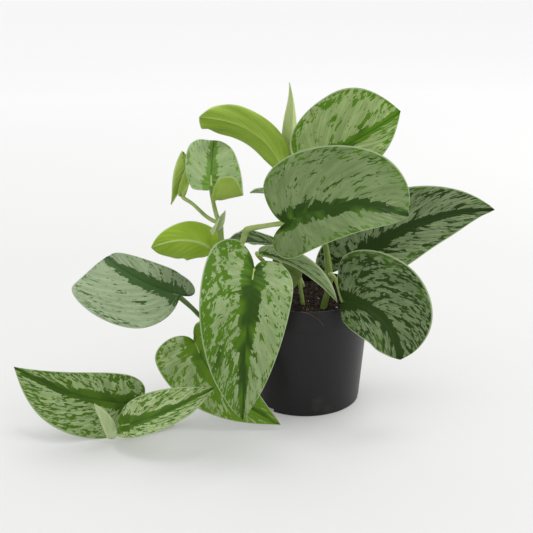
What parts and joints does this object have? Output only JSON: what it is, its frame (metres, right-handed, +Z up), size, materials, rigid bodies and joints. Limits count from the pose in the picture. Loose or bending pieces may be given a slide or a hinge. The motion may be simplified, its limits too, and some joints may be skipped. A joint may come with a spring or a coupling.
{
  "type": "potted silver pothos plant",
  "caption": "Trailing silver-leaved pothos in a round black nursery pot with a collar, drainage holes and notched foot; one stem hangs over the rim and lies on the surface.",
  "frame": {"origin": "centre of the pot's underside, on the surface that it stands on", "axes": "+Z up, -Y to the front, +X to the right seen from the front; the trailing stem lies to -X"},
  "size_m": [0.3761, 0.1731, 0.2521],
  "materials": {
    "pot_black": "satin",
    "compost": "matte",
    "leaf_silver": "satin",
    "petiole_green": "satin",
    "stem_green": "satin",
    "young_green": "satin"
  },
  "bodies": {
    "root": {"leaf_back": "leaf_silver", "leaf_centre": "leaf_silver", "leaf_cupped": "leaf_silver", "leaf_cupped_back": "leaf_silver", "leaf_front": "leaf_silver", "leaf_ground_front": "leaf_silver", "leaf_ground_left": "leaf_silver", "leaf_inner": "leaf_silver", "leaf_inner_low": "leaf_silver", "leaf_left_lime": "leaf_silver", "leaf_left_silver": "leaf_silver", "leaf_low": "leaf_silver", "leaf_lower_right": "leaf_silver", "leaf_mid_left": "leaf_silver", "leaf_new_spear": "young_green", "leaf_right": "leaf_silver", "leaf_top": "leaf_silver", "leaf_top_left": "leaf_silver", "nursery_pot": "pot_black", "petiole_back": "petiole_green", "petiole_centre": "petiole_green", "petiole_cupped": "petiole_green", "petiole_cupped_back": "petiole_green", "petiole_front": "petiole_green", "petiole_ground_front": "petiole_green", "petiole_ground_left": "petiole_green", "petiole_inner": "petiole_green", "petiole_inner_low": "petiole_green", "petiole_left_lime": "petiole_green", "petiole_left_silver": "petiole_green", "petiole_low": "petiole_green", "petiole_lower_right": "petiole_green", "petiole_mid_left": "petiole_green", "petiole_right": "petiole_green", "petiole_top": "petiole_green", "petiole_top_left": "petiole_green", "sheath_ground": "young_green", "sheath_left": "young_green", "soil": "compost", "stem_left": "stem_green", "stem_right": "stem_green", "stem_trailing": "stem_green"}
  },
  "joints": []
}
